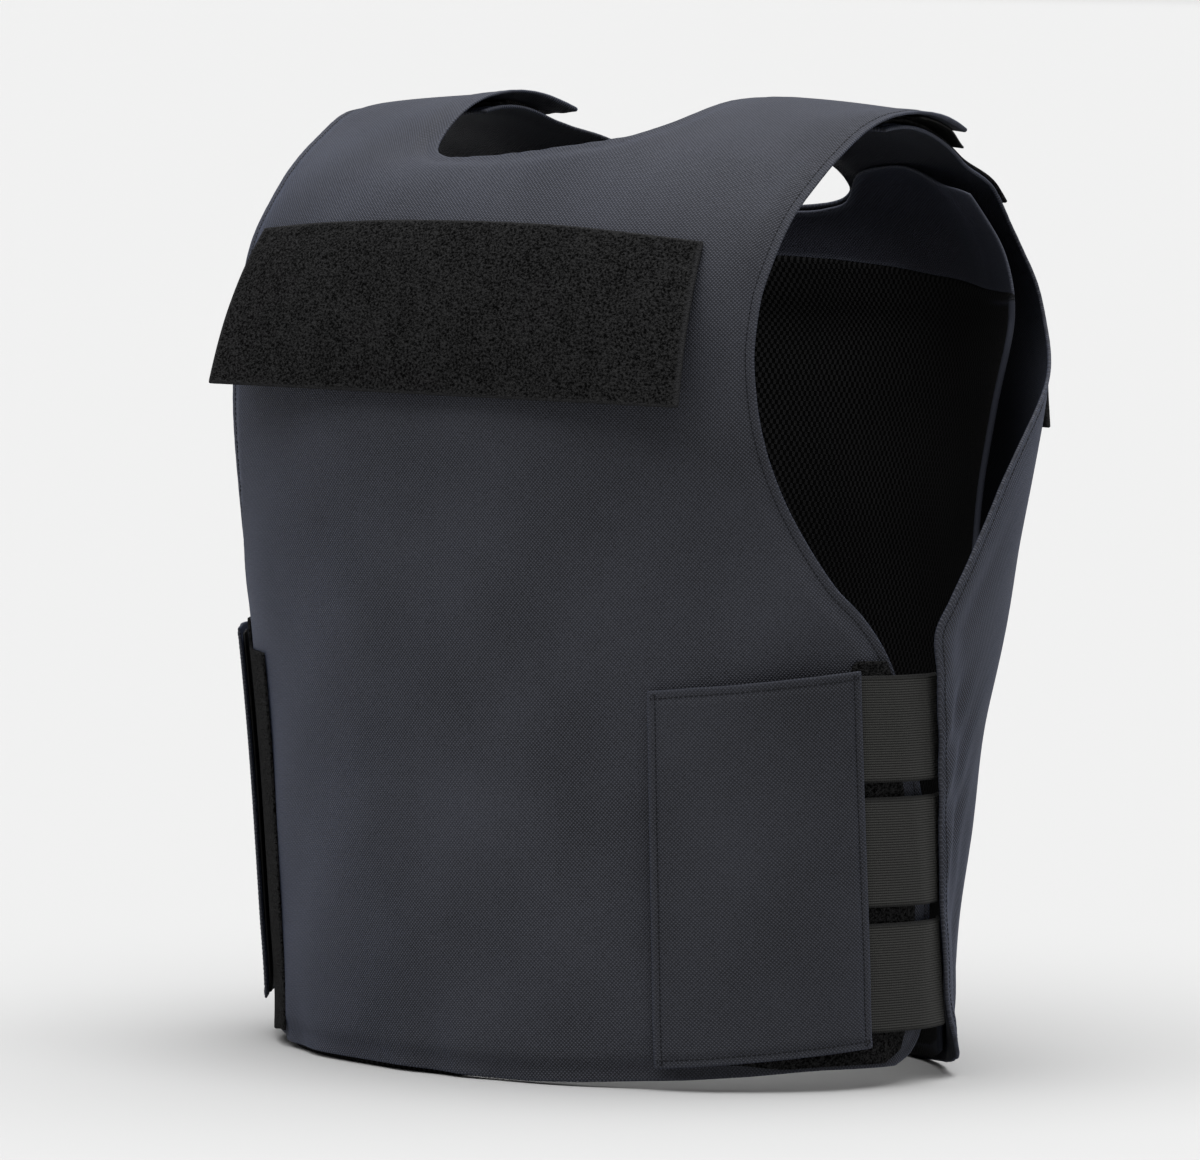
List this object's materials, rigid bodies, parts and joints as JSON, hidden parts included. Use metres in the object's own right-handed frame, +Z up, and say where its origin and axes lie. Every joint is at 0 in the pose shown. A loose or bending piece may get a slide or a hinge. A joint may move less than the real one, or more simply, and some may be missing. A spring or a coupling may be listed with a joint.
{
  "type": "armor carrier vest",
  "caption": "Low profile soft armour carrier vest with scooped neck, wide shoulder straps, loop faced chest and back panels and elastic side closures, standing on its hem",
  "frame": {"origin": "centre of the vest's box at floor level, on the surface that the hem stands on", "axes": "+Z up towards the shoulders, +Y towards the back of the vest, +X towards the wearer's left; the wearer faces -Y"},
  "size_m": [0.4145, 0.3108, 0.4554],
  "materials": {
    "shell_cloth": "dark navy twill, matt",
    "spacer_mesh": "black spacer mesh with open diamond holes",
    "loop_pile": "black brushed loop, matt with fine curls",
    "hook_tape": "black hook tape, slightly shiny",
    "ribbed_elastic": "dark grey woven elastic with fine ribs"
  },
  "bodies": {
    "root": {"front_panel": "shell_cloth", "back_panel": "shell_cloth", "back_yoke": "shell_cloth", "side_flap_left": "shell_cloth", "side_flap_right": "shell_cloth", "front_lining": "spacer_mesh", "back_mesh": "spacer_mesh", "chest_flap": "loop_pile", "back_flap": "loop_pile", "loop_field_left": "loop_pile", "loop_field_right": "loop_pile", "shoulder_loop_left": "loop_pile", "shoulder_loop_right": "loop_pile", "flap_hook_left": "hook_tape", "flap_hook_right": "hook_tape", "shoulder_hook_left": "hook_tape", "shoulder_hook_right": "hook_tape", "elastic_left_upper": "ribbed_elastic", "elastic_left_middle": "ribbed_elastic", "elastic_left_lower": "ribbed_elastic", "elastic_right_upper": "ribbed_elastic", "elastic_right_middle": "ribbed_elastic", "elastic_right_lower": "ribbed_elastic"}
  },
  "joints": []
}
